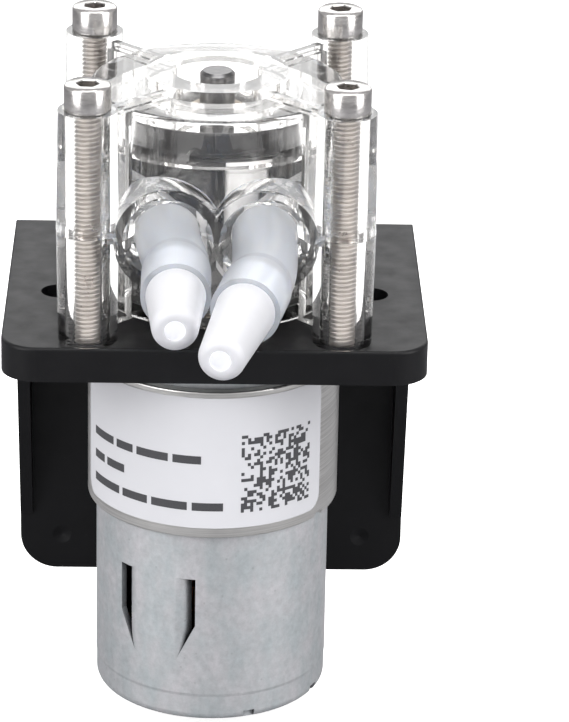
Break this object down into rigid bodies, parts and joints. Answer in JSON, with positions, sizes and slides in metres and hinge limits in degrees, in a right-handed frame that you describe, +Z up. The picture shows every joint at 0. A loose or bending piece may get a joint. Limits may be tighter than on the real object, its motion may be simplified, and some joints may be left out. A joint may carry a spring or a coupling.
{
  "type": "peristaltic pump",
  "caption": "Small peristaltic pump: clear roller head with two front hose ports, on a black angle bracket over a cylindrical brushed motor.",
  "frame": {"origin": "on the shaft axis, at the top face of the bracket plate, midway between its two mounting holes", "axes": "+Z up along the shaft from the motor to the pump head; -Y towards the hose ports; +X to the right seen from the ports"},
  "size_m": [0.064, 0.1011, 0.1105],
  "materials": {
    "black_plastic": "moulded black plastic, satin with a fine grain",
    "clear_plastic": "water-clear moulded plastic, polished, faint warm tint",
    "silicone": "translucent milky silicone rubber, slight sheen",
    "white_plastic": "white moulded plastic, smooth satin",
    "stainless": "bright stainless steel, turned and polished",
    "zinc_plate": "zinc-plated drawn steel, faint mottle",
    "flux_steel": "rolled zinc-plated steel strip, fine lines round it",
    "label_film": "white self-adhesive film, satin",
    "tool_steel": "dark hardened steel, ground",
    "rotor_plastic": "dark grey moulded plastic, satin",
    "roller_plastic": "white bearing plastic, smooth",
    "bronze": "sintered bronze, matte",
    "copper": "enamelled copper wire",
    "brass": "stamped brass strip",
    "laminations": "stack of thin steel laminations, coated",
    "ferrite": "dark grey ferrite, matte",
    "carbon": "pressed carbon, matte"
  },
  "bodies": {
    "frame": {"mounting_bracket": "black_plastic", "head_body": "clear_plastic", "head_cover": "clear_plastic", "head_screws": "stainless", "pump_tube": "silicone", "inlet_connector": "white_plastic", "outlet_connector": "white_plastic", "motor_screws": "stainless", "motor_can": "zinc_plate", "flux_ring": "flux_steel", "motor_label": "label_film", "motor_magnets": "ferrite", "magnet_clips": "stainless", "front_bearing": "bronze", "rear_bearing": "bronze", "motor_end_cap": "black_plastic", "brush_holders": "brass", "brush_springs": "stainless", "carbon_brushes": "carbon", "motor_terminals": "brass"},
    "motor_rotor": {"motor_shaft": "stainless", "armature_core": "laminations", "armature_winding": "copper", "commutator": "copper", "drive_sleeve": "tool_steel"},
    "carrier": {"carrier_base": "rotor_plastic", "carrier_cover": "rotor_plastic", "carrier_screws": "stainless", "carrier_bushes": "bronze", "roller_pins": "stainless"},
    "roller_1_body": {"roller_1": "roller_plastic"},
    "roller_2_body": {"roller_2": "roller_plastic"},
    "roller_3_body": {"roller_3": "roller_plastic"}
  },
  "joints": [
    {"name": "motor_spin", "type": "hinge", "parent": "frame", "child": "motor_rotor", "pos_m": [0, 0, 0], "axis": [0, 0, 1], "continuous": true},
    {"name": "carrier_spin", "type": "hinge", "parent": "frame", "child": "carrier", "pos_m": [0, 0, 0], "axis": [0, 0, 1], "continuous": true},
    {"name": "roller_1_spin", "type": "hinge", "parent": "carrier", "child": "roller_1_body", "pos_m": [0.00275, -0.00798, 0], "axis": [0, 0, 1], "continuous": true},
    {"name": "roller_2_spin", "type": "hinge", "parent": "carrier", "child": "roller_2_body", "pos_m": [0.00554, 0.00637, 0], "axis": [0, 0, 1], "continuous": true},
    {"name": "roller_3_spin", "type": "hinge", "parent": "carrier", "child": "roller_3_body", "pos_m": [-0.00829, 0.00161, 0], "axis": [0, 0, 1], "continuous": true}
  ],
  "couplings": [
    {"joint": "carrier_spin", "follows": "motor_spin", "ratio": 0.15764},
    {"joint": "roller_1_spin", "follows": "motor_spin", "ratio": -0.38788},
    {"joint": "roller_2_spin", "follows": "motor_spin", "ratio": -0.38788},
    {"joint": "roller_3_spin", "follows": "motor_spin", "ratio": -0.38788}
  ]
}
